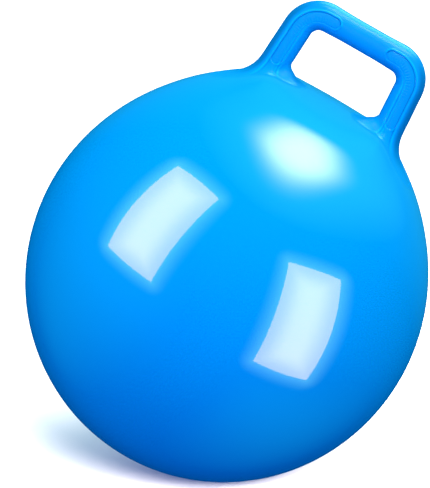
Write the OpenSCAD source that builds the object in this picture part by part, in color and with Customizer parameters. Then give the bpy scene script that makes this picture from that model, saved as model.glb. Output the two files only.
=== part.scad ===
// Hopper ball: a hollow, air-filled ball with a hollow loop handle and an air valve.
// Millimetres, +Z up. The origin is the middle of the flat patch that the ball rests on.
// The handle's plane is XZ. The ball leans in that plane, so the handle points up and to +X.

/* [Ball] */
// Diameter of the ball across its equator
ball_d = 450; // [430:5:550]
// Extra length of the ball at its bottom pole, over the equator's radius
pole_rise = 4.3; // [0:0.1:8]
// Extra length of the ball at its top pole, over the equator's radius
top_rise = 10; // [4:0.1:11]
// Height of the soft shoulder round the handle's roots
shoulder_rise = 5.3; // [0:0.1:6]
// Height of the wide, faint swell below the shoulder
swell_rise = 1.3; // [0:0.1:2]
// Thickness of the ball's skin
skin_t = 1.1; // [1:0.1:2]
// Depth by which the ball is pressed flat where it rests
sag = 2.2; // [1:0.1:3]
// Angle by which the handle leans from upright
lean = 29; // [0:1:40]

/* [Handle] */
// Thickness of the round grip bar
grip_d = 31; // [27:0.2:33]
// Thickness of the legs where they bend into the bar
corner_d = 32.8; // [28:0.2:34]
// Thickness of the legs at the ball
leg_d = 33.8; // [30:0.1:36]
// Distance between the middles of the two legs at the ball
leg_gap = 147; // [135:0.2:155]
// Angle by which each leg leans in towards the bar
splay = 3.7; // [0:0.1:6]
// Height of the bar's middle over the equator's radius
bar_rise = 88.4; // [78:0.2:96]
// Radius of the grip's centre line round the two corners
corner_r = 26.6; // [20:0.1:30]
// Wall of the hollow handle
handle_t = 2.6; // [2:0.1:4]
// Width of the root flare beyond the leg
flare_w = 22; // [8:1:26]
// Height of the root flare
flare_h = 36; // [24:1:40]

// Height of the slanted web on the inner side of each root
web_h = 12; // [8:0.5:16]
// Width of the slanted web on the ball
web_w = 18.7; // [12:0.1:22]

/* [Grip panels] */
// Width of the sunk panels on the front and back of the grip
panel_w = 13; // [8:0.5:14]
// Depth of the sunk panels
panel_sink = 0.8; // [0.4:0.1:1.2]
// Where the panels end on the bar, from its middle
panel_bar_end = 29; // [22:1:38]
// Height of the panels' lower end over the equator's radius
panel_low = 17; // [14:1:30]

/* [Valve] */
// Angle of the valve from the handle's axis, round the back of the ball
valve_angle = 65; // [50:1:80]
// Diameter of the valve seat's face in the skin
seat_d = 26; // [24:0.5:30]
// Diameter of the seat's flange under the skin
flange_d = 40; // [36:1:46]
// Diameter of the stopper's head
head_d = 18.4; // [16:0.2:20]
// Thickness of the stopper's head
head_t = 2; // [1.6:0.1:2.6]
// Diameter of the stopper's shank
shank_d = 7.6; // [6:0.1:9]
// Length of the stopper's shank under its head
shank_l = 15; // [12:0.5:16]
// Radial clearance of the shank in the seat's bore
shank_clear = 0.06; // [0.02:0.01:0.1]

/* [Hidden] */
eq_r = ball_d / 2;
steps = 60;                       // profile segments from pole to pole
vinyl = [0.02, 0.56, 0.96];

// Radius of the ball at angle a from the handle's axis
function ball_r(a) = eq_r
    + top_rise * exp(-pow(a / 46, 2.5))
    + shoulder_rise * exp(-pow((a - 21) / 8.5, 2))
    + swell_rise * exp(-pow((a - 34) / 9, 2))
    + pole_rise * pow(max(0, -cos(a)), 2);
// Half outline of the ball, sunk by inset
function ball_outline(inset) = [for (i = [0:steps])
    let (a = i * 180 / steps, r = ball_r(a) - inset) [r * sin(a), r * cos(a)]];
// Distance from the ball's centre down to its lowest point when it leans
function reach() = max([for (i = [0:720]) let (a = i / 4)
    ball_r(a) * cos(a - (180 - lean))]);
centre_h = reach() - sag;                    // height of the ball's centre
centre_x = pole_rise * sin(2 * lean);        // centres the flat patch on the origin

leg_r = leg_d / 2;
turn_r = corner_d / 2;
grip_r = grip_d / 2;
leg_x = leg_gap / 2;
bar_z = eq_r + bar_rise;
corner_z = bar_z - corner_r;
// Half distance between the legs at height z over the ball's centre
function leg_at(z) = leg_x - tan(splay) * (z - eq_r);
corner_x = leg_at(corner_z) - corner_r / cos(splay);
leg_top = [corner_x + corner_r * cos(splay), 0, corner_z + corner_r * sin(splay)];
leg_l = (leg_top[2] - (eq_r - 24)) / cos(splay);     // down to inside the ball
leg_slope = (leg_r - turn_r) / leg_l;
thin_l = 20;                                 // length over which the bar thins, near each corner
panel_l = (leg_top[2] - (eq_r + panel_low)) / cos(splay) - panel_w / 2;

valve_r = ball_r(valve_angle);
recess_z = valve_r - head_t - 0.4;           // floor of the recess that the head sits in
bore_r = shank_d / 2 + shank_clear;
lap = 0.5;                                   // the straight tubes run this far into the corners
skin = 0.1;                                  // the corners' walls are this much thicker

// Children drawn about the ball's centre, with the handle's axis along +Z, are put in place
module placed() {
    translate([centre_x, 0, centre_h]) rotate([0, lean, 0]) children();
}

// The ball as a solid, its outline sunk by inset and pressed flat underneath
module ball_solid(inset) {
    intersection() {
        placed() rotate_extrude($fn = 360) polygon(ball_outline(inset));
        translate([-400, -400, inset]) cube([800, 800, 900]);
    }
}

// Children drawn along +Z from the ball's centre are turned to the valve's direction
module valve_frame() {
    placed() rotate([0, 0, 90]) rotate([0, valve_angle, 0]) children();
}

module ball_skin() {
    color(vinyl) difference() {
        ball_solid(0);
        ball_solid(skin_t);
        valve_frame() translate([0, 0, valve_r - 12]) cylinder(h = 24, d = seat_d, $fn = 64);
    }
}

// A plate with one round end, which cuts the sunk panels on both faces of a straight part.
// It runs along +Z from its round end at z = 0.
module panel_plate(length) {
    rotate([90, 0, 0]) linear_extrude(height = 60, center = true) union() {
        translate([-panel_w / 2, 0]) square([panel_w, length]);
        circle(d = panel_w, $fn = 48);
    }
}

// One leg, hollow, with its sunk panels, drawn down from its top end at the origin
module leg_tube() {
    difference() {
        translate([0, 0, -leg_l]) cylinder(h = leg_l + lap, r1 = leg_r,
            r2 = turn_r - lap * leg_slope, $fn = 72);
        translate([0, 0, -leg_l - 1]) cylinder(h = leg_l + 2,
            r1 = leg_r - handle_t + leg_slope, r2 = turn_r - handle_t - leg_slope, $fn = 64);
        difference() {
            translate([0, 0, -panel_l]) panel_plate(panel_l + 1);
            translate([0, 0, -leg_l - 1]) cylinder(h = leg_l + 2,
                r1 = leg_r - panel_sink + leg_slope, r2 = turn_r - panel_sink - leg_slope, $fn = 72);
        }
    }
}

// The root of one leg, which widens into the ball
module leg_root() {
    n = 7;
    translate([0, 0, -leg_l]) difference() {
        rotate_extrude($fn = 72) polygon(concat(
            [[leg_r - handle_t, 0]],
            [for (i = [0:n]) [leg_r - leg_slope * flare_h * i / n + 0.06
                + flare_w * pow(1 - i / n, 2), flare_h * i / n]],
            [[leg_r - handle_t, flare_h]]));
        translate([0, 0, -1]) cylinder(h = flare_h + 2, r = leg_r - handle_t, $fn = 64);
    }
}

// The slanted web at one root: a low cone on the ball, set in towards the other leg
module root_web() {
    in = 8;
    a = asin((leg_x - in) / ball_r(16));
    low = 4;
    tip = 3;                                 // the cone ends inside the leg
    slope = web_w / web_h;
    difference() {
        rotate([0, a, 0]) translate([0, 0, ball_r(a) - low]) cylinder(h = low + web_h + tip,
            r1 = leg_r - in + web_w + low * slope, r2 = leg_r - in - tip * slope, $fn = 72);
        translate(leg_top) rotate([0, -splay, 0]) translate([0, 0, -leg_l - 1])
            cylinder(h = leg_l + 2, r = leg_r - handle_t + 0.8, $fn = 64);
    }
}

// One rounded corner of the handle, hollow, with its sunk panels
module corner_tube() {
    rotate([90, 0, 0]) rotate([0, 0, splay]) rotate_extrude(angle = 90 - splay, $fn = 96)
    translate([corner_r, 0]) difference() {
        circle(r = turn_r + skin, $fn = 64);
        circle(r = turn_r - handle_t - skin, $fn = 48);
        difference() {
            square([panel_w - 2 * skin, corner_d + 6], center = true);
            circle(r = turn_r - panel_sink + skin, $fn = 64);
        }
    }
}

// The bar's round form, its surface sunk by inset and made longer at each end by more.
// It runs along +Z from the end of one corner, and thins a little way from each corner.
module bar_form(inset, more) {
    long = 2 * corner_x;
    rotate_extrude($fn = 72) polygon([[0, -more], [turn_r - inset, -more], [turn_r - inset, 2 * lap],
        [grip_r - inset, 2 * lap + thin_l], [grip_r - inset, long - thin_l - 2 * lap],
        [turn_r - inset, long - 2 * lap], [turn_r - inset, long + more], [0, long + more]]);
}

// The bar, hollow, with the ends of the sunk panels
module bar_tube() {
    translate([-corner_x, 0, bar_z]) rotate([0, 90, 0]) difference() {
        bar_form(0, lap);
        bar_form(handle_t, 1);
        difference() {
            union() {
                translate([0, 0, corner_x + panel_bar_end + panel_w / 2]) panel_plate(40);
                translate([0, 0, corner_x - panel_bar_end - panel_w / 2]) mirror([0, 0, 1]) panel_plate(40);
            }
            bar_form(panel_sink, 1);
        }
    }
}

module handle_loop() {
    color(vinyl) placed() difference() {
        union() {
            bar_tube();
            for (side = [0, 1]) mirror([side, 0, 0]) {
                translate([corner_x, 0, corner_z]) corner_tube();
                root_web();
                translate(leg_top) rotate([0, -splay, 0]) {
                    leg_tube();
                    leg_root();
                }
            }
        }
        rotate_extrude($fn = 360) polygon(ball_outline(0));
    }
}

module valve_seat() {
    color([0.05, 0.45, 0.85]) difference() {
        union() {
            // the face, flush in the skin
            intersection() {
                ball_solid(0);
                valve_frame() translate([0, 0, valve_r - 7]) cylinder(h = 20, d = seat_d, $fn = 64);
            }
            // the flange, bonded under the skin
            intersection() {
                ball_solid(skin_t);
                valve_frame() translate([0, 0, valve_r - 5]) cylinder(h = 20, d = flange_d, $fn = 64);
            }
            // the neck that grips the shank
            valve_frame() translate([0, 0, recess_z - shank_l + 0.5]) cylinder(h = 12, d = 2 * bore_r + 6, $fn = 48);
        }
        valve_frame() {
            translate([0, 0, recess_z - shank_l - 5]) cylinder(h = 30, r = bore_r, $fn = 48);
            translate([0, 0, recess_z]) cylinder(h = 10, r = head_d / 2 + 0.4, $fn = 64);
            // a thumbnail notch beside the head
            translate([head_d / 2, 0, recess_z + 0.6]) cylinder(h = 10, r = 2.6, $fn = 32);
        }
    }
}

module valve_plug() {
    color([0.93, 0.94, 0.95]) valve_frame() translate([0, 0, recess_z]) rotate_extrude($fn = 64)
        polygon([[0, -shank_l], [shank_d / 2 - 1.2, -shank_l], [shank_d / 2, -shank_l + 2.4],
            [shank_d / 2, 0], [head_d / 2, 0], [head_d / 2, head_t - 0.7],
            [head_d / 2 - 0.7, head_t], [head_d / 2 - 3, head_t], [head_d / 2 - 3.6, head_t - 0.5],
            [0, head_t - 0.5]]);
}

ball_skin();
handle_loop();
valve_seat();
valve_plug();
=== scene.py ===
import bpy
import numpy as np
from mathutils import Matrix, Vector


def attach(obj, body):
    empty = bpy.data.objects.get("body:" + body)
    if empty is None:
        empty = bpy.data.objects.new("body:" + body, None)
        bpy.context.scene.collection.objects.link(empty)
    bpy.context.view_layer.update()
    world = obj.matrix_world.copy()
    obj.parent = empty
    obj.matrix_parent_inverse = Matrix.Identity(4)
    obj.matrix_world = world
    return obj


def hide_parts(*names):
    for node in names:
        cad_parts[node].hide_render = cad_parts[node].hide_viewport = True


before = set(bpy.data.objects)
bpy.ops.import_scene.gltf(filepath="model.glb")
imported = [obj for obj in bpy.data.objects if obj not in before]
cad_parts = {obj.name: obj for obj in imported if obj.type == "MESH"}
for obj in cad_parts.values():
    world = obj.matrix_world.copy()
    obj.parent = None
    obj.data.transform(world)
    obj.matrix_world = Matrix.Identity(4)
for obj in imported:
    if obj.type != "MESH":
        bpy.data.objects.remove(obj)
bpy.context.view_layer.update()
scene = bpy.context.scene

# ------------------------------------------------------------------ sizes of the ball, in millimetres
LEAN = np.radians(29.0)          # the handle leans from upright towards +X
CX, CH = 3.6466, 226.1175        # the ball's centre over the middle of its flat patch
EQ = 225.0
BAR_Z = 313.4
CORNER_R = 26.6
SPLAY = np.radians(3.7)
LEG_X = 73.5
R_LEG, R_COR, R_BAR = 16.85, 16.3, 15.45
PANEL_W = 13.0
SKIN = 1.1
VALVE = np.radians(65.0)
SEAT_R = 13.0
K_OUT, K_IN, K_SIDE = 18.0, 4.0, 15.0
CUT_H, CUT_A = 12.0, 18.7        # the slanted web on the inner side of each root: up the leg, and out on the ball


def smooth(x):
    x = np.clip(x, 0.0, 1.0)
    return x * x * (3 - 2 * x)


def turn(n):
    """Direction in the ball's own frame to the row frame."""
    c, s = np.cos(LEAN), np.sin(LEAN)
    q = np.empty_like(n)
    q[..., 0] = n[..., 0] * c + n[..., 2] * s
    q[..., 1] = n[..., 1]
    q[..., 2] = -n[..., 0] * s + n[..., 2] * c
    return q


def unturn(n):
    c, s = np.cos(LEAN), np.sin(LEAN)
    q = np.empty_like(n)
    q[..., 0] = n[..., 0] * c - n[..., 2] * s
    q[..., 1] = n[..., 1]
    q[..., 2] = n[..., 0] * s + n[..., 2] * c
    return q


CENTRE = np.array([CX, 0.0, CH]) / 1000.0


def to_world(p):
    """Point in the ball's own frame, in millimetres, to the row frame in metres."""
    return turn(np.asarray(p, float)) / 1000.0 + CENTRE


# ------------------------------------------------------------------ the ball's surface
def ball_radius(d):
    a = np.degrees(np.arccos(np.clip(d[..., 2], -1, 1)))
    r = (EQ + 10.0 * np.exp(-(a / 46.0) ** 2.5) + 5.3 * np.exp(-((a - 21.0) / 8.5) ** 2)
         + 1.3 * np.exp(-((a - 34.0) / 9.0) ** 2) + 4.3 * np.maximum(0, -d[..., 2]) ** 2)
    # the top is held straight between the legs
    u, v = d[..., 0] * r, d[..., 1] * r
    lift = (np.minimum(np.abs(u), 70.0) ** 2) / (2 * 440.0)
    lift = lift * (1 - smooth((np.abs(u) - 52.0) / 50.0)) * (1 - smooth((np.abs(v) - 42.0) / 46.0))
    r = r + np.where(d[..., 2] > 0.5, lift, 0.0)
    # pressed flat on the floor
    down = -(-d[..., 0] * np.sin(LEAN) + d[..., 2] * np.cos(LEAN))
    plane = np.where(down > 0.2, CH / np.maximum(down, 0.2), 1e4)
    k = 1.6
    h = np.maximum(k - np.abs(r - plane), 0) / k
    return np.minimum(r, plane) - h * h * k / 4


def ball_field(p):
    n = np.linalg.norm(p, axis=-1)
    return n - ball_radius(p / n[..., None])


def gradient(f, p, e=0.02):
    g = np.empty_like(p)
    for i in range(3):
        d = np.zeros(3)
        d[i] = e
        g[..., i] = f(p + d) - f(p - d)
    return g / np.linalg.norm(g, axis=-1, keepdims=True)


# ------------------------------------------------------------------ the handle's surface
FOOT = np.array([LEG_X, 0.0, EQ])
UP = np.array([-np.sin(SPLAY), 0.0, np.cos(SPLAY)])
OUT = np.array([np.cos(SPLAY), 0.0, np.sin(SPLAY)])
SIDE = np.array([0.0, 1.0, 0.0])
_z = BAR_Z - CORNER_R
CORNER = np.array([LEG_X - np.tan(SPLAY) * (_z - EQ) - CORNER_R / np.cos(SPLAY), 0.0, _z])
L_LEG = float((CORNER + CORNER_R * OUT - FOOT) @ UP)
L_ARC = CORNER_R * (np.pi / 2 - SPLAY)
L_BAR = float(CORNER[0])
TOTAL = L_LEG + L_ARC + L_BAR            # from one foot to the middle of the bar


def leg_radius(h):
    return R_LEG + (R_COR - R_LEG) * smooth((h + 10.0) / 90.0)


def grip_radius(m):
    """Radius of the grip along its centre line: a little thicker round the corners than on the bar."""
    return np.where(m < L_LEG, leg_radius(m), R_COR + (R_BAR - R_COR) * smooth((m - L_LEG - L_ARC + 6.0) / 32.0))


def leg_parts(p):
    q = p - FOOT
    h = q @ UP
    e = q - h[..., None] * UP
    return h, e, np.linalg.norm(e, axis=-1)


def foot_field(p):
    """The leg and the ball, blended: widest on the outer side of the leg."""
    h, e, n = leg_parts(p)
    c = (e @ OUT) / np.maximum(n, 1e-6)
    k = K_SIDE + (K_OUT - K_SIDE) * smooth(np.maximum(c, 0)) + (K_IN - K_SIDE) * smooth(np.maximum(-c, 0))
    a, b = n - leg_radius(h), ball_field(p)
    w = np.maximum(k - np.abs(a - b), 0) / k
    base = np.minimum(a, b) - w * w * k / 4
    # the slanted web towards the other leg
    inner, slant = smooth(np.maximum(-c, 0)), np.hypot(CUT_H, CUT_A)
    cut = (a * CUT_H + b * CUT_A - CUT_H * CUT_A * inner) / slant + 6.0 * (1 - inner)
    w = np.maximum(5.0 - np.abs(cut - base), 0) / 5.0
    return np.minimum(cut, base) - w * w * 5.0 / 4


def ring_angles():
    """Angles round the grip, closest together over the two sunk panels."""
    w = (PANEL_W / 2 + 3.2) / 15.0
    q = np.pi / 2
    a = [np.linspace(-q + w, q - w, 26, endpoint=False), np.linspace(q - w, q + w, 62, endpoint=False),
         np.linspace(q + w, 3 * q - w, 26, endpoint=False), np.linspace(3 * q - w, 3 * q + w, 62, endpoint=False)]
    return np.concatenate(a)


ANG = ring_angles()


def centre_line(s):
    """Points, outward normals and arc lengths from the nearer foot, along the handle from +X to -X."""
    s = np.asarray(s, float)
    m = np.where(s > TOTAL, 2 * TOTAL - s, s)
    flip = s > TOTAL
    p, n = np.zeros(s.shape + (3,)), np.zeros(s.shape + (3,))
    leg, bar = m <= L_LEG, m > L_LEG + L_ARC
    arc = ~leg & ~bar
    p[leg] = FOOT + m[leg][:, None] * UP
    n[leg] = OUT
    a = SPLAY + (m - L_LEG) / CORNER_R
    na = np.stack([np.cos(a), np.zeros_like(a), np.sin(a)], -1)
    p[arc] = (CORNER + CORNER_R * na)[arc]
    n[arc] = na[arc]
    p[bar] = np.stack([L_BAR - (m - L_LEG - L_ARC), np.zeros_like(m), np.full_like(m, BAR_Z)], -1)[bar]
    n[bar] = [0, 0, 1]
    p[flip, 0] *= -1
    n[flip, 0] *= -1
    return p, n, m


PANEL_S0 = 17.5                          # where the sunk panels start over the feet


def panel_edge(m, ang):
    """Distance from the edge of the nearer sunk panel, negative inside it."""
    q = np.pi / 2
    r = grip_radius(m)
    t = np.minimum(np.abs(ang - q), np.abs(ang - 3 * q)) * r
    t = np.minimum(t, np.abs(ang + q) * r)
    s0, s1 = PANEL_S0, L_LEG + L_ARC + (L_BAR - 29.0)
    mid, half = (s0 + s1) / 2, (s1 - s0) / 2
    w = PANEL_W / 2
    return np.sqrt(np.maximum(np.abs(m - mid) - (half - w), 0) ** 2 + t ** 2) - w


def grip_relief(m, ang):
    """Height of the grip's surface over its round: the sunk panels with their rims and ribs, and the mould line."""
    r, d, s0 = grip_radius(m), panel_edge(m, ang), PANEL_S0
    bend = smooth((m - L_LEG + 12) / 12) * (1 - smooth((m - L_LEG - L_ARC - 4) / 10))
    inwards = -np.cos(ang) * r           # how far over towards the hole
    sink = (-0.8 * smooth((0.15 - d) / 0.7) * (1 - 0.5 * bend * smooth((inwards - 1.0) / 5.0))
            - 0.35 * np.exp(-((d + 0.75) / 0.4) ** 2) * (1 - 0.85 * bend * smooth(inwards / 3.0)))
    rim = 0.42 * np.exp(-((d - 1.15) / 0.85) ** 2) * (1 - 0.7 * bend * smooth(inwards / 3.0))
    rib = ((0.06 + 0.22 * bend * smooth((inwards + 2.0) / 4.0)) * (0.5 + 0.5 * np.cos(2 * np.pi * (m - s0) / 3.3))
           * smooth((-0.9 - d) / 0.9))
    # the thin mould line along the inner and outer sides
    e = np.minimum(np.abs(ang), np.abs(ang - np.pi)) * r
    line = 0.10 * np.exp(-(e / 0.35) ** 2) * smooth((m - 24) / 10)
    return sink + rim + rib + line


def foot_rings(n_ring, h_top):
    """Rings that leave the leg at height h_top and spread on to the ball, where they lie exactly on it."""
    c = np.cos(ANG)
    m = 17.0 + 19.0 * smooth(np.maximum(c, 0)) + 11.0 * smooth(np.maximum(-c, 0))
    radial = np.cos(ANG)[:, None] * OUT + np.sin(ANG)[:, None] * SIDE
    fan = FOOT + UP * h_top + radial * (leg_radius(np.full(ANG.shape, h_top)) + m)[:, None]
    steps = np.linspace(0.5, 110, 120)
    rings = []
    for j in range(n_ring + 1):
        q = j / n_ring * np.pi / 2
        d = -radial * np.cos(q) - UP * np.sin(q)
        f = np.stack([foot_field(fan + d * x) for x in steps], 0)
        first = np.maximum(np.argmax(f <= 0, axis=0), 1)
        lo, hi = steps[first - 1].copy(), steps[first].copy()
        for _ in range(18):
            mid = (lo + hi) / 2
            g = foot_field(fan + d * mid[:, None])
            hi = np.where(g <= 0, mid, hi)
            lo = np.where(g <= 0, lo, mid)
        rings.append(fan + d * ((lo + hi) / 2)[:, None])
    return np.array(rings)


# ------------------------------------------------------------------ meshes
def build_mesh(name, verts, quads, tris, exact=None):
    """A smooth mesh from points in the ball's frame. exact gives the true normals of some points."""
    a, b, c = verts[quads[:, 0]], verts[quads[:, 1]], verts[quads[:, 2]]
    volume = np.einsum("ij,ij->i", a, np.cross(b, c)).sum()
    a, b, c = verts[quads[:, 0]], verts[quads[:, 2]], verts[quads[:, 3]]
    volume += np.einsum("ij,ij->i", a, np.cross(b, c)).sum()
    if volume < 0:                       # the faces look outwards
        quads, tris = quads[:, ::-1], tris[:, ::-1]
    me = bpy.data.meshes.new(name)
    me.from_pydata(to_world(verts).tolist(), [], [list(map(int, q)) for q in quads] + [list(map(int, t)) for t in tris])
    me.validate()
    me.update()
    me.polygons.foreach_set("use_smooth", [True] * len(me.polygons))
    if exact is not None:
        n = np.zeros(len(me.vertices) * 3, np.float32)
        me.vertex_normals.foreach_get("vector", n)
        n = n.reshape(-1, 3)
        mask, normals = exact
        n[mask] = turn(normals)
        me.normals_split_custom_set_from_vertices(n.tolist())
    ob = bpy.data.objects.new(name, me)
    scene.collection.objects.link(ob)
    return ob


def grid_quads(rows, cols, start=0, flip=False):
    i, j = np.meshgrid(np.arange(rows - 1), np.arange(cols), indexing="ij")
    k = (j + 1) % cols
    q = np.stack([i * cols + j, i * cols + k, (i + 1) * cols + k, (i + 1) * cols + j], -1).reshape(-1, 4) + start
    return q[:, ::-1] if flip else q


def fan_tris(row_start, cols, tip, flip=False):
    j = np.arange(cols)
    t = np.stack([row_start + j, row_start + (j + 1) % cols, np.full(cols, tip)], -1)
    return t[:, ::-1] if flip else t


# the valve's own axes, in the ball's frame
VW = np.array([0.0, np.sin(VALVE), np.cos(VALVE)])
VX = np.array([1.0, 0.0, 0.0])
VY = np.cross(VW, VX)
VALVE_R = float(ball_radius(VW[None])[0])


def build_ball():
    cols = 320
    psi = np.arange(cols) * 2 * np.pi / cols
    ring = np.cos(psi)[:, None] * VX + np.sin(psi)[:, None] * VY

    def on_surface(alpha, sink=0.0):
        d = np.cos(alpha) * VW + np.sin(alpha) * ring
        return d * (ball_radius(d) - sink)[:, None]

    hole = SEAT_R + 0.06
    a_of = lambda e: np.arcsin(e / VALVE_R)
    rows = [on_surface(a_of(hole), SKIN), on_surface(a_of(hole)) - VW * 0.55, on_surface(a_of(hole + 0.06)) - VW * 0.28,
            on_surface(a_of(hole + 0.22)) - VW * 0.08]
    n_rim = len(rows)
    a = a_of(hole + 0.5)
    alphas = [a]
    step = np.radians(0.2)
    while a < np.pi - np.radians(1.6):
        a += step
        step = min(step * 1.25, np.radians(1.15))
        alphas.append(a)
    rows += [on_surface(x) for x in alphas if x < np.pi - np.radians(0.6)]
    outer = len(rows)
    verts = np.concatenate(rows)
    tip_out = len(verts)
    d = -VW[None]
    verts = np.concatenate([verts, d * ball_radius(d)[:, None]])
    # the inner face of the skin
    inner_start = len(verts)
    inner = [on_surface(x, SKIN) for x in np.linspace(a_of(hole + 2.0), np.pi - np.radians(2.0), 90)]
    verts = np.concatenate([verts] + inner)
    tip_in = len(verts)
    verts = np.concatenate([verts, d * (ball_radius(d) - SKIN)[:, None]])
    quads = [grid_quads(outer, cols), grid_quads(len(inner), cols, inner_start, True)]
    j = np.arange(cols)
    k = (j + 1) % cols
    quads.append(np.stack([j, inner_start + j, inner_start + k, k], -1))
    tris = [fan_tris((outer - 1) * cols, cols, tip_out, False), fan_tris(inner_start + (len(inner) - 1) * cols, cols, tip_in, True)]
    mask = np.zeros(len(verts), bool)
    mask[n_rim * cols:tip_out + 1] = True
    normals = gradient(ball_field, verts[mask])
    return build_mesh("ball_vinyl", verts, np.concatenate(quads), np.concatenate(tris), (mask, normals))


def build_handle():
    n_ring, h_top = 90, 24.0
    foot = foot_rings(n_ring, h_top)
    # the relief of the panels' lower ends reaches the roots' upper rings
    h, e, n = leg_parts(foot)
    relief = grip_relief(h, np.broadcast_to(ANG, h.shape)) * (1 - smooth((n - 19.5) / 3.0))
    foot = foot + (e / n[..., None]) * relief[..., None]
    s = [h_top]
    while s[-1] < TOTAL:
        m = s[-1]
        s.append(m + (0.36 if m < L_LEG + L_ARC + (L_BAR - 28.0) + 1 else 1.6))
    s = np.array(s[1:-1] + [TOTAL])
    s = np.concatenate([s, 2 * TOTAL - s[:-1][::-1]])
    p, nn, m = centre_line(s)
    r = grip_radius(m)[:, None] + grip_relief(m[:, None], ANG[None, :])
    # the bar's section is a little squarer than a circle
    square = (np.abs(np.cos(ANG)) ** 2.25 + np.abs(np.sin(ANG)) ** 2.25) ** (-1 / 2.25)
    r = r * (1 + (square[None, :] - 1.015) * smooth((m[:, None] - L_LEG - 6.0) / L_ARC))
    tube = p[:, None, :] + r[..., None] * (np.cos(ANG)[None, :, None] * nn[:, None, :] + np.sin(ANG)[None, :, None] * SIDE)
    other = foot * np.array([-1.0, 1.0, 1.0])
    cols = len(ANG)

    def under(border, side):
        """Closes a root inside the skin: a short skirt, then rings to the middle, all under the ball's surface."""
        mid = np.array([side * (LEG_X + 1.0), 0.0, EQ])
        mid = mid / np.linalg.norm(mid)
        d = border / np.linalg.norm(border, axis=-1, keepdims=True)
        rows = []
        for w, sink in ((0.0, 0.6), (0.25, 0.9), (0.5, 0.9), (0.75, 0.9), (0.93, 0.9)):
            x = d * (1 - w) + mid * w
            x = x / np.linalg.norm(x, axis=-1, keepdims=True)
            rows.append(x * (ball_radius(x) - sink)[:, None])
        tip = mid * (ball_radius(mid[None])[0] - 0.9)
        return np.array(rows), tip

    u1, tip1 = under(foot[-1], 1)
    u2, tip2 = under(other[-1], -1)
    strip = np.concatenate([u1[::-1], foot[::-1], tube, other, u2])
    rows = len(strip)
    verts = np.concatenate([strip.reshape(-1, 3), [tip1, tip2]])
    quads = grid_quads(rows, cols, 0, False)
    tris = np.concatenate([fan_tris(0, cols, rows * cols, True), fan_tris((rows - 1) * cols, cols, rows * cols + 1, False)])
    # true normals where the roots leave the legs and run out on the ball
    mask = np.zeros((rows, cols), bool)
    k = len(u1)
    far = 24
    mask[k:k + n_ring + 1 - far] = True
    mask[rows - k - (n_ring + 1) + far:rows - k] = True
    mask = np.concatenate([mask.reshape(-1), [False, False]])
    sgn = np.where(verts[mask][:, :1] < 0, -1.0, 1.0) * np.array([[1.0, 0, 0]]) + np.array([[0, 1.0, 1.0]])
    normals = gradient(foot_field, verts[mask] * sgn) * sgn
    ob = build_mesh("handle_vinyl", verts, quads, tris, (mask, normals))
    # painted shade: the vinyl is darkened along the outside of the legs and under the bar, where less light reaches
    c = np.cos(ANG)[None, :]
    leg, bar = 1 - smooth((m[:, None] - L_LEG - 6.0) / (0.8 * L_ARC)), smooth((m[:, None] - L_LEG) / L_ARC)
    painted_light = 1 - 0.40 * leg * smooth((c - 0.48) / 0.32) - 0.16 * leg * smooth((-c - 0.8) / 0.2) - 0.24 * bar * smooth((-c - 0.45) / 0.5)
    # painted highlight along the panels' rims, with painted shade in a line inside them
    d, outer = panel_edge(m[:, None], ANG[None, :]), smooth(c / 0.12)
    painted_light = painted_light * (1 + outer * (0.42 * np.exp(-((d - 1.3) / 1.0) ** 2) - 0.28 * np.exp(-((d + 0.7) / 0.8) ** 2)))
    painted_light = painted_light * (1 + (1 - outer) * leg * (0.50 * np.exp(-((d - 1.6) / 1.0) ** 2) - 0.14 * np.exp(-(d / 0.7) ** 2)
                                            + 0.34 * np.exp(-((d + 1.6) / 0.8) ** 2)))
    # the painted shade and highlight of the lowest grip ring carry down the roots and fade out where they meet the ball
    n_foot = len(u1) + n_ring + 1
    low = np.repeat(painted_light[:1] * 1.0, n_foot, axis=0)
    fade = np.concatenate([np.zeros(len(u1)), smooth(np.linspace(0, 1.25, n_ring + 1))])[:, None]
    low = 1 + (low - 1) * fade
    painted_light = np.concatenate([low, painted_light, low[::-1]]).reshape(-1)
    share = ob.data.attributes.new("painted_light", "FLOAT", "POINT")
    share.data.foreach_set("value", np.concatenate([painted_light, [1.0, 1.0]]).astype(np.float32))
    # the roots run out into the ball's own gloss, and are dullest half way down
    down = np.linspace(0, 1, n_ring + 1)
    for name, grip, root in (("ballness", 0.0, 0.3 * smooth((down - 0.5) / 0.4)), ("shine", 1.0, 1 - 0.65 * smooth(down / 0.12))):
        half = np.concatenate([np.full(len(u1), root[-1]), root[::-1]])
        rows_v = np.concatenate([half, np.full(len(m), grip), half[::-1]])
        share = ob.data.attributes.new(name, "FLOAT", "POINT")
        share.data.foreach_set("value", np.concatenate([np.repeat(rows_v, cols), [root[-1]] * 2]).astype(np.float32))
    return ob


def lathe(name, profile, cols=96, shape=None):
    """A closed turned piece about the valve's axis. profile holds (radius, height over the ball's surface) from the
    top middle to the bottom middle, or a closed ring when its ends meet away from the axis."""
    psi = np.arange(cols) * 2 * np.pi / cols
    radial = np.cos(psi)[:, None] * VX + np.sin(psi)[:, None] * VY
    on_axis = profile[0][0] == 0
    body = profile[1:-1] if on_axis else profile
    rows = []
    for i, (e, h) in enumerate(body):
        ee = np.full(cols, float(e))
        if shape is not None:
            ee = shape(i, psi, ee)
        rows.append(VW * (VALVE_R + h) + radial * ee[:, None])
    verts = np.concatenate(rows)
    quads = [grid_quads(len(rows), cols, 0, False)]
    tris = np.zeros((0, 3), int)
    if on_axis:
        verts = np.concatenate([verts, [VW * (VALVE_R + profile[0][1]), VW * (VALVE_R + profile[-1][1])]])
        tris = np.concatenate([fan_tris(0, cols, len(rows) * cols, True), fan_tris((len(rows) - 1) * cols, cols, len(rows) * cols + 1, False)])
    else:
        j = np.arange(cols)
        k = (j + 1) % cols
        last = (len(rows) - 1) * cols
        quads.append(np.stack([last + j, last + k, k, j], -1))
    return build_mesh(name, verts, np.concatenate(quads), tris)


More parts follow.
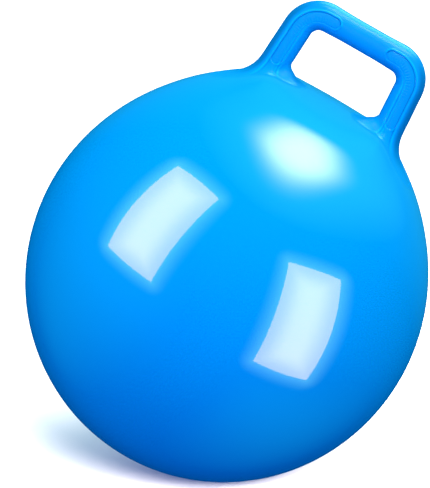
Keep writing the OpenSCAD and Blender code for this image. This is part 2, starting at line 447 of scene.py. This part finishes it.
def rounded(points, r, n=4):
    """Rounds the corners of an open list of (x, y) points by cutting them with short curves."""
    out = [points[0]]
    for a, b, c in zip(points, points[1:], points[2:]):
        a, b, c = np.array(a, float), np.array(b, float), np.array(c, float)
        la, lc = np.linalg.norm(a - b), np.linalg.norm(c - b)
        t = min(r, 0.45 * la, 0.45 * lc)
        p, q = b + (a - b) / la * t, b + (c - b) / lc * t
        for i in range(n + 1):
            w = i / n
            out.append(tuple((1 - w) ** 2 * p + 2 * w * (1 - w) * b + w * w * q))
    out.append(points[-1])
    return out


FLOOR_Z = -2.4          # the recess's floor under the ball's surface


def build_seat():
    dome = lambda e: -e * e / (2 * VALVE_R) - 0.03
    # from the bore's lower end up to the recess, over the face, and back down outside
    ring = [(3.86, FLOOR_Z - 14.4), (3.86, FLOOR_Z), (9.6, FLOOR_Z), (9.6, FLOOR_Z + 0.6), (9.85, FLOOR_Z + 0.62),
            (9.85, dome(9.85)), (11.4, dome(11.4)), (12.96, dome(12.96)), (12.96, -1.5), (20.0, -2.2), (20.0, -5.0),
            (6.86, -5.6), (6.86, FLOOR_Z - 14.4)]
    r = rounded(ring, 0.35, 3)
    wall = [i for i, (e, h) in enumerate(r) if 9.7 < e < 10.4 and h > FLOOR_Z + 0.5]

    def notch(i, psi, e):
        if i not in wall:
            return e
        a = np.minimum(psi, 2 * np.pi - psi)
        inside = 2.6 ** 2 - (9.2 * np.sin(a)) ** 2
        reach = np.where((inside > 0) & (a < 1.0), 9.2 * np.cos(a) + np.sqrt(np.maximum(inside, 0)), 0)
        reach = np.minimum(reach, 11.2)
        return np.maximum(e, reach + (e - 9.85))
    return lathe("valve_seat_ring", r, 144, notch)


def build_plug():
    top = FLOOR_Z + 2.0
    prof = [(0, top - 0.75), (1.6, top - 0.75), (2.1, top - 0.45), (4.9, top - 0.45), (5.5, top), (8.1, top),
            (9.2, top - 0.25), (9.2, FLOOR_Z + 0.02), (3.8, FLOOR_Z + 0.02), (3.8, FLOOR_Z - 12.6), (2.6, FLOOR_Z - 15.0),
            (0, FLOOR_Z - 15.0)]
    return lathe("valve_stopper", rounded(prof, 0.4, 4), 120)


# ------------------------------------------------------------------ materials
def new_material(name):
    m = bpy.data.materials.new(name)
    m.use_nodes = True
    nt = m.node_tree
    return m, nt, nt.nodes["Principled BSDF"]


def vinyl(name, deep, light, rough=(0.30, 0.36), spec=0.0, coat=1.0, coat_rough=0.02, grain=0.002, scale=1.0, with_painted_light_and_gloss=False):
    """Glossy moulded vinyl: faint colour drift, a slightly uneven gloss and a very fine moulded grain."""
    m, nt, b = new_material(name)
    N, L = nt.nodes.new, nt.links.new
    tc = N("ShaderNodeTexCoord")
    drift = N("ShaderNodeTexNoise")
    drift.inputs["Scale"].default_value = 5.0 * scale
    drift.inputs["Detail"].default_value = 2.0
    L(tc.outputs["Object"], drift.inputs["Vector"])
    ramp = N("ShaderNodeValToRGB")
    ramp.color_ramp.elements[0].position, ramp.color_ramp.elements[1].position = 0.3, 0.7
    ramp.color_ramp.elements[0].color = (*deep, 1)
    ramp.color_ramp.elements[1].color = (*light, 1)
    L(drift.outputs["Fac"], ramp.inputs["Fac"])
    if with_painted_light_and_gloss:
        # painted light: the handle's per-point painted shade and highlight multiply the base colour
        painted_light = N("ShaderNodeAttribute")
        painted_light.attribute_name = "painted_light"
        painted_light_mul = N("ShaderNodeMix")
        painted_light_mul.data_type, painted_light_mul.blend_type = "RGBA", "MULTIPLY"
        painted_light_mul.inputs["Factor"].default_value = 1.0
        L(ramp.outputs["Color"], painted_light_mul.inputs[6])
        L(painted_light.outputs["Color"], painted_light_mul.inputs[7])
        L(painted_light_mul.outputs[2], b.inputs["Base Color"])
    else:
        L(ramp.outputs["Color"], b.inputs["Base Color"])
    haze = N("ShaderNodeTexNoise")
    haze.inputs["Scale"].default_value = 60.0 * scale
    haze.inputs["Detail"].default_value = 4.0
    L(tc.outputs["Object"], haze.inputs["Vector"])
    rr = N("ShaderNodeMapRange")
    rr.inputs["To Min"].default_value, rr.inputs["To Max"].default_value = rough
    L(haze.outputs["Fac"], rr.inputs["Value"])
    L(rr.outputs["Result"], b.inputs["Roughness"])
    fine = N("ShaderNodeTexNoise")
    fine.inputs["Scale"].default_value = 900.0
    fine.inputs["Detail"].default_value = 3.0
    L(tc.outputs["Object"], fine.inputs["Vector"])
    bump = N("ShaderNodeBump")
    bump.inputs["Strength"].default_value = grain
    bump.inputs["Distance"].default_value = 0.0004
    L(fine.outputs["Fac"], bump.inputs["Height"])
    L(bump.outputs["Normal"], b.inputs["Normal"])
    b.inputs["IOR"].default_value = 1.45
    b.inputs["Specular IOR Level"].default_value = spec
    b.inputs["Coat Weight"].default_value = coat
    b.inputs["Coat Roughness"].default_value = coat_rough
    b.inputs["Coat IOR"].default_value = 1.5
    if with_painted_light_and_gloss:
        for name, socket, grip, ball in (("ballness", "Coat Weight", coat, 1.0), ("ballness", "Coat Roughness", coat_rough, 0.02)):
            share, mr = N("ShaderNodeAttribute"), N("ShaderNodeMapRange")
            share.attribute_name = name
            mr.inputs["To Min"].default_value, mr.inputs["To Max"].default_value = grip, ball
            L(share.outputs["Fac"], mr.inputs["Value"])
            if socket == "Coat Weight":
                share, dull = N("ShaderNodeAttribute"), N("ShaderNodeMath")
                share.attribute_name, dull.operation = "shine", "MULTIPLY"
                L(share.outputs["Fac"], dull.inputs[0])
                dull.inputs[1].default_value = coat
                L(dull.outputs[0], mr.inputs["To Min"])
            L(mr.outputs["Result"], b.inputs[socket])
    return m


ball_mat = vinyl("azure_vinyl", (0.0, 0.325, 0.71), (0.0, 0.34, 0.74), rough=(0.25, 0.30), spec=0.0)
handle_mat = vinyl("azure_vinyl_grip", (0.0, 0.31, 0.70), (0.0, 0.33, 0.74), rough=(0.40, 0.46), coat=0.22, coat_rough=0.17, grain=0.010, scale=4.0, with_painted_light_and_gloss=True)
seat_mat = vinyl("azure_vinyl_seat", (0.0, 0.21, 0.75), (0.0, 0.235, 0.8), rough=(0.38, 0.46), coat=0.5, coat_rough=0.12, grain=0.12, scale=12.0)


def stopper_material():
    m, nt, b = new_material("white_soft_plastic")
    N, L = nt.nodes.new, nt.links.new
    tc = N("ShaderNodeTexCoord")
    noise = N("ShaderNodeTexNoise")
    noise.inputs["Scale"].default_value = 260.0
    noise.inputs["Detail"].default_value = 5.0
    L(tc.outputs["Object"], noise.inputs["Vector"])
    ramp = N("ShaderNodeValToRGB")
    ramp.color_ramp.elements[0].position, ramp.color_ramp.elements[1].position = 0.25, 0.75
    ramp.color_ramp.elements[0].color = (0.74, 0.75, 0.76, 1)
    ramp.color_ramp.elements[1].color = (0.83, 0.84, 0.85, 1)
    L(noise.outputs["Fac"], ramp.inputs["Fac"])
    L(ramp.outputs["Color"], b.inputs["Base Color"])
    rr = N("ShaderNodeMapRange")
    rr.inputs["To Min"].default_value, rr.inputs["To Max"].default_value = 0.38, 0.52
    L(noise.outputs["Fac"], rr.inputs["Value"])
    L(rr.outputs["Result"], b.inputs["Roughness"])
    bump = N("ShaderNodeBump")
    bump.inputs["Strength"].default_value = 0.15
    bump.inputs["Distance"].default_value = 0.0002
    L(noise.outputs["Fac"], bump.inputs["Height"])
    L(bump.outputs["Normal"], b.inputs["Normal"])
    b.inputs["Subsurface Weight"].default_value = 0.15
    b.inputs["Subsurface Radius"].default_value = (0.002, 0.002, 0.002)
    return m


# ------------------------------------------------------------------ the pieces
pieces = [
    (build_ball(), "ball_skin", "ball", "vinyl_ball", ball_mat),
    (build_handle(), "handle_loop", "ball", "vinyl_handle", handle_mat),
    (build_seat(), "valve_seat", "ball", "vinyl_seat", seat_mat),
    (build_plug(), "valve_plug", "plug", "plug_plastic", stopper_material()),
]
for ob, node, body, slot, mat in pieces:
    ob.data.materials.append(mat)
    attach(ob, body)
    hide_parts(node)

# ------------------------------------------------------------------ camera, at the photograph's viewing angle
W, H = 430.0, 488.0
AZ, EL, ROLL = np.radians([8.0, 13.0, 0.0])
DIST, FOCAL = 2.5, 2220.6              # metres from the ball's centre, and focal length in pixels
AT = np.array([226.41, 278.84])         # where the ball's centre lies in the picture
c = np.array([np.sin(AZ) * np.cos(EL), -np.cos(AZ) * np.cos(EL), np.sin(EL)])
right = np.array([np.cos(AZ), np.sin(AZ), 0.0])
up = np.array([-np.sin(AZ) * np.sin(EL), np.cos(AZ) * np.sin(EL), np.cos(EL)])
eye = CENTRE + DIST * c
right, up = right * np.cos(ROLL) + up * np.sin(ROLL), -right * np.sin(ROLL) + up * np.cos(ROLL)
look = -c - right * (AT[0] - W / 2) / FOCAL + up * (AT[1] - H / 2) / FOCAL
look /= np.linalg.norm(look)
right = np.cross(look, up)
right /= np.linalg.norm(right)
up = np.cross(right, look)
cam_data = bpy.data.cameras.new("camera")
cam_data.sensor_fit = "VERTICAL"
cam_data.sensor_height = 36.0
cam_data.lens = 36.0 * FOCAL / H
cam_data.clip_start, cam_data.clip_end = 0.05, 60.0
cam = bpy.data.objects.new("camera", cam_data)
scene.collection.objects.link(cam)
cam.matrix_world = Matrix(((right[0], up[0], -look[0], eye[0]), (right[1], up[1], -look[1], eye[1]),
                           (right[2], up[2], -look[2], eye[2]), (0, 0, 0, 1)))
scene.camera = cam


# ------------------------------------------------------------------ studio lights
def bounce(points):
    """Where the rays through points of the picture meet the ball, and the directions in which they are mirrored."""
    q = np.asarray(points, float)
    d = look * FOCAL + right * (q[:, :1] - W / 2) - up * (q[:, 1:] - H / 2)
    d /= np.linalg.norm(d, axis=1, keepdims=True)
    o, dl = unturn((eye - CENTRE) * 1000.0), unturn(d)
    t = np.full(len(q), 2150.0)
    for _ in range(60):
        t += np.clip(ball_field(o + dl * t[:, None]), -20, 60) * 0.95
    p = o + dl * t[:, None]
    n = turn(gradient(ball_field, p))
    r = d - 2 * np.sum(d * n, axis=1, keepdims=True) * n
    return to_world(p), r


def light_mesh(name, verts, faces, level, power, colour=(1, 1, 1)):
    """A lamp that only mirrors in the gloss. level gives each point's share of the power."""
    me = bpy.data.meshes.new(name)
    me.from_pydata([list(map(float, v)) for v in verts], [], [list(map(int, f)) for f in faces])
    share = me.attributes.new("level", "FLOAT", "POINT")
    share.data.foreach_set("value", np.asarray(level, np.float32))
    ob = bpy.data.objects.new(name, me)
    scene.collection.objects.link(ob)
    m = bpy.data.materials.new(name)
    m.use_nodes = True
    nt = m.node_tree
    nt.nodes.clear()
    out = nt.nodes.new("ShaderNodeOutputMaterial")
    em = nt.nodes.new("ShaderNodeEmission")
    at_n = nt.nodes.new("ShaderNodeAttribute")
    at_n.attribute_name = "level"
    mul = nt.nodes.new("ShaderNodeMath")
    mul.operation = "MULTIPLY"
    mul.inputs[1].default_value = power
    nt.links.new(at_n.outputs["Fac"], mul.inputs[0])
    nt.links.new(mul.outputs[0], em.inputs["Strength"])
    em.inputs["Color"].default_value = (*colour, 1)
    clear, both = nt.nodes.new("ShaderNodeBsdfTransparent"), nt.nodes.new("ShaderNodeAddShader")
    nt.links.new(em.outputs[0], both.inputs[0])
    nt.links.new(clear.outputs[0], both.inputs[1])
    nt.links.new(both.outputs[0], out.inputs[0])
    me.materials.append(m)
    ob.visible_camera = False
    ob.visible_diffuse = False
    ob.visible_transmission = False
    ob.visible_volume_scatter = False
    ob.visible_shadow = False
    return ob


def plane_hits(points, distance):
    p, r = bounce(points)
    axis = r.mean(0) if len(r) == 4 else r[0]
    axis /= np.linalg.norm(axis)
    at = CENTRE + axis * distance
    return p + r * (((at - p) @ axis) / (r @ axis))[:, None]


# the softboxes only show in the gloss of the ball and its valve, and not in the narrow gloss of the handle
only_ball = bpy.data.collections.new("only_ball")
for ob in (pieces[0][0], pieces[2][0], pieces[3][0]):
    only_ball.objects.link(ob)
# nor does the photograph's ball mirror its handle
pieces[1][0].visible_glossy = False


def softbox(name, corners, distance, power, colour, size=(52.0, 104.0), halo=17.0):
    """A softbox whose mirror image on the ball has these corners in the picture, with the faint glow of its cloth."""
    c00, c10, c11, c01 = plane_hits(corners, distance)

    def at(u, v):
        u, v = u[..., None] / size[0], v[..., None] / size[1]
        return c00 * (1 - u) * (1 - v) + c10 * u * (1 - v) + c11 * u * v + c01 * (1 - u) * v

    nu, nv = 14, 26
    u, v = np.meshgrid(np.linspace(0, size[0], nu), np.linspace(0, size[1], nv), indexing="ij")
    inside = np.minimum(np.minimum(u, size[0] - u), np.minimum(v, size[1] - v))
    i, j = np.meshgrid(np.arange(nu - 1), np.arange(nv - 1), indexing="ij")
    a = i * nv + j
    box = light_mesh(name, at(u, v).reshape(-1, 3), np.stack([a, a + nv, a + nv + 1, a + 1], -1).reshape(-1, 4),
               (0.62 + 0.38 * smooth(inside / 22.0)).reshape(-1), power, colour)
    # the glow round the edge
    edge, normal = [], []
    for k, (x, y) in enumerate([(0, 0), (size[0], 0), size, (0, size[1])]):
        for t in np.linspace(0, np.pi / 2, 7):
            ang = np.pi + k * np.pi / 2 + t
            edge.append((x, y))
            normal.append((np.cos(ang), np.sin(ang)))
    edge, normal = np.array(edge, float), np.array(normal)
    steps = np.linspace(0.0, 1.0, 10) ** 1.5 * halo
    ring = edge[None] + normal[None] * steps[:, None, None]
    n = len(edge)
    level = 0.30 * np.maximum(0, 1 - steps / halo) ** 1.5
    i, j = np.meshgrid(np.arange(len(steps) - 1), np.arange(n), indexing="ij")
    k = (j + 1) % n
    faces = np.stack([i * n + j, i * n + k, (i + 1) * n + k, (i + 1) * n + j], -1).reshape(-1, 4)
    cloth = light_mesh(name + "_glow", at(ring[..., 0], ring[..., 1]).reshape(-1, 3), faces, np.repeat(level, n), power, (0.34, 1.0, 0.5))
    for ob in (box, cloth):
        ob.light_linking.receiver_collection = only_ball


def soft_disc(name, centre, half, tilt, falloff, distance, power, colour=(1, 1, 1)):
    """A round soft light that fades away from its middle, seen mirrored as a soft ellipse in the picture."""
    a = np.array([np.cos(tilt), np.sin(tilt)]) * half[0]
    b = np.array([-np.sin(tilt), np.cos(tilt)]) * half[1]
    c0 = np.array(centre, float)
    p0, pa, pb, qa, qb = plane_hits([c0, c0 + a, c0 + b, c0 - a, c0 - b], distance)
    n, rings, reach = 72, 20, 1.9
    rho = np.concatenate([[0.0], np.repeat(np.arange(1, rings + 1) / rings * reach, n)])
    ang = np.concatenate([[0.0], np.tile(2 * np.pi * np.arange(n) / n, rings)])
    x, y = (rho * np.cos(ang))[:, None], (rho * np.sin(ang))[:, None]
    verts = (p0 + x * (pa - qa) / 2 + x * x * (pa + qa - 2 * p0) / 2 + y * (pb - qb) / 2 + y * y * (pb + qb - 2 * p0) / 2)
    faces = [[0, 1 + i, 1 + (i + 1) % n, 1 + (i + 1) % n] for i in range(n)]
    faces = [f[:3] for f in faces]
    for k in range(1, rings):
        p, q = 1 + (k - 1) * n, 1 + k * n
        faces += [[p + i, q + i, q + (i + 1) % n, p + (i + 1) % n] for i in range(n)]
    return light_mesh(name, verts, faces, np.exp(-rho ** falloff) * (1 - smooth((rho - 1.5) / 0.4)), power, colour)


softbox("softbox_left", [(178, 166), (219, 199), (151, 282), (108, 246)], 1.8, 15.8, (1.0, 0.86, 0.72))
softbox("softbox_right", [(289, 262), (341, 280), (306, 380), (253, 361)], 0.5, 15.8, (0.99, 0.93, 0.72))
soft_disc("overhead_glow", (299.5, 155.5), (40.5, 24.9), np.radians(27.5), 3.07, 2.2, 17.0)
soft_disc("overhead_haze", (306.0, 170.0), (88.0, 46.0), np.radians(27.5), 2.0, 2.3, 2.4, (0.10, 1.0, 0.6))
soft_disc("left_haze", (108.0, 285.0), (60.0, 84.0), np.radians(25.0), 2.2, 1.9, 0.9, (0.02, 1.0, 0.5))
soft_disc("low_haze", (268.0, 418.0), (66.0, 36.0), np.radians(-12.0), 2.2, 1.9, 0.9, (0.02, 1.0, 0.6))


def area(name, direction, distance, size, power, colour=(1, 1, 1), aim=None):
    data = bpy.data.lights.new(name, "AREA")
    data.shape = "DISK"
    data.size = size
    data.energy = power
    data.color = colour
    ob = bpy.data.objects.new(name, data)
    scene.collection.objects.link(ob)
    d = Vector(direction).normalized()
    target = Vector(CENTRE if aim is None else aim)
    ob.location = target + d * distance
    ob.rotation_euler = (-d).to_track_quat("-Z", "Y").to_euler()
    ob.visible_camera = False
    ob.visible_glossy = False
    return ob


def towards(azimuth, elevation):
    a, e = np.radians([azimuth, elevation])
    return np.array([np.sin(a) * np.cos(e), -np.cos(a) * np.cos(e), np.sin(e)])


# a wide strip over and behind the handle, which only its own gloss shows
only_handle = bpy.data.collections.new("only_handle")
only_handle.objects.link(pieces[1][0])
grip_at = to_world(np.array([0.0, 0.0, BAR_Z]))
a0 = np.array([0.38, 0.58, 0.72])
a0 /= np.linalg.norm(a0)
a1 = np.cross(a0, [0.0, 0.0, 1.0])
a1 /= np.linalg.norm(a1)
a2 = np.cross(a0, a1)
n, rings = 48, 12
rho = np.concatenate([[0.0], np.repeat(np.arange(1, rings + 1) / rings, n)])
ang = np.concatenate([[0.0], np.tile(2 * np.pi * np.arange(n) / n, rings)])
disc = grip_at + 1.5 * a0 + 0.95 * (rho * np.cos(ang))[:, None] * a1 + 0.95 * (rho * np.sin(ang))[:, None] * a2
faces = [[0, 1 + i, 1 + (i + 1) % n] for i in range(n)]
for k in range(1, rings):
    faces += [[1 + (k - 1) * n + i, 1 + k * n + i, 1 + k * n + (i + 1) % n, 1 + (k - 1) * n + (i + 1) % n] for i in range(n)]
strip = light_mesh("grip_strip", disc, faces, 1 - smooth((rho - 0.35) / 0.65), 15.0, (0.36, 1.0, 0.7))
strip.light_linking.receiver_collection = only_handle

area("key", towards(38, 44), 2.4, 1.3, 19.0)
area("front", towards(0, 14), 2.4, 1.4, 20.0, (0.40, 0.16, 1.0))

# a pale floor that glows more the farther it lies from the ball, painted light that fades its shadow out close round
# the ball; and a pale room
bpy.ops.mesh.primitive_grid_add(x_subdivisions=8, y_subdivisions=8, size=14.0, location=(0, 0, 0))
floor = bpy.context.object
floor.name = "floor"
fm, nt, b = new_material("pale_floor")
b.inputs["Base Color"].default_value = (0.65, 0.65, 0.65, 1)
b.inputs["Roughness"].default_value = 0.9
b.inputs["Specular IOR Level"].default_value = 0.0
# painted light: the floor's own glow is faint within 0.18 m of the ball and full beyond 0.45 m
geo = nt.nodes.new("ShaderNodeNewGeometry")
far = nt.nodes.new("ShaderNodeVectorMath")
far.operation = "DISTANCE"
far.inputs[1].default_value = (0.0, 0.0, 0.0)
nt.links.new(geo.outputs["Position"], far.inputs[0])
glow = nt.nodes.new("ShaderNodeMapRange")
glow.interpolation_type = "SMOOTHSTEP"
glow.inputs["From Min"].default_value, glow.inputs["From Max"].default_value = 0.18, 0.45
glow.inputs["To Min"].default_value, glow.inputs["To Max"].default_value = 0.09, 1.0
nt.links.new(far.outputs["Value"], glow.inputs["Value"])
nt.links.new(glow.outputs["Result"], b.inputs["Emission Strength"])
b.inputs["Emission Color"].default_value = (1.0, 0.9, 0.85, 1)
floor.data.materials.append(fm)
floor.visible_diffuse = False
floor.visible_glossy = False
only_floor = bpy.data.collections.new("only_floor")
only_floor.objects.link(floor)
lamp = area("floor_key", towards(27, 23.5), 2.4, 1.3, 430.0, (1.0, 0.91, 0.86))
lamp.light_linking.receiver_collection = only_floor

world = bpy.data.worlds.new("room")
scene.world = world
world.use_nodes = True
nt = world.node_tree
nt.nodes.clear()
N, L = nt.nodes.new, nt.links.new


def room_light(direction, stops):
    """A soft gradient across the room along one direction. stops holds (cosine, colour)."""
    tc = N("ShaderNodeTexCoord")
    dot = N("ShaderNodeVectorMath")
    dot.operation = "DOT_PRODUCT"
    d = np.array(direction, float)
    dot.inputs[1].default_value = tuple(d / np.linalg.norm(d))
    L(tc.outputs["Generated"], dot.inputs[0])
    mr = N("ShaderNodeMapRange")
    mr.inputs["From Min"].default_value, mr.inputs["From Max"].default_value = -1.0, 1.0
    L(dot.outputs["Value"], mr.inputs["Value"])
    ramp = N("ShaderNodeValToRGB")
    e = ramp.color_ramp.elements
    while len(e) < len(stops):
        e.new(0.5)
    for el, (t, colour) in zip(e, stops):
        el.position = (t + 1) / 2
        el.color = (*colour, 1)
    L(mr.outputs["Result"], ramp.inputs["Fac"])
    bg = N("ShaderNodeBackground")
    L(ramp.outputs["Color"], bg.inputs["Color"])
    return bg


out = N("ShaderNodeOutputWorld")
path_n = N("ShaderNodeLightPath")
fill = room_light((0.1, -0.03, 1), [(-1.0, (0.1, 0.13, 0.5)), (-0.667, (0.1, 0.16, 0.56)), (0.0, (0.45, 0.655, 0.935)), (1.0, (0.9, 1.40, 1.47))])
gloss = room_light((0.3, 0.78, 0.55), [(-1.0, (0.0, 0.03, 0.12)), (0.0, (0.0, 0.03, 0.12)), (0.3, (0.0, 0.06, 0.22)), (0.57, (0.0, 0.12, 0.36)),
                                   (0.85, (0.03, 0.50, 0.80)), (1.0, (0.06, 0.90, 1.20))])
white = N("ShaderNodeBackground")
white.inputs["Color"].default_value = (1, 1, 1, 1)
white.inputs["Strength"].default_value = 1.05
mix1, mix2 = N("ShaderNodeMixShader"), N("ShaderNodeMixShader")
L(path_n.outputs["Is Glossy Ray"], mix1.inputs[0])
L(fill.outputs[0], mix1.inputs[1])
L(gloss.outputs[0], mix1.inputs[2])
L(path_n.outputs["Is Camera Ray"], mix2.inputs[0])
L(mix1.outputs[0], mix2.inputs[1])
L(white.outputs[0], mix2.inputs[2])
L(mix2.outputs[0], out.inputs[0])

scene.view_settings.view_transform = "Standard"
scene.view_settings.look = "None"
scene.view_settings.exposure = 0.0
scene.view_settings.gamma = 1.0
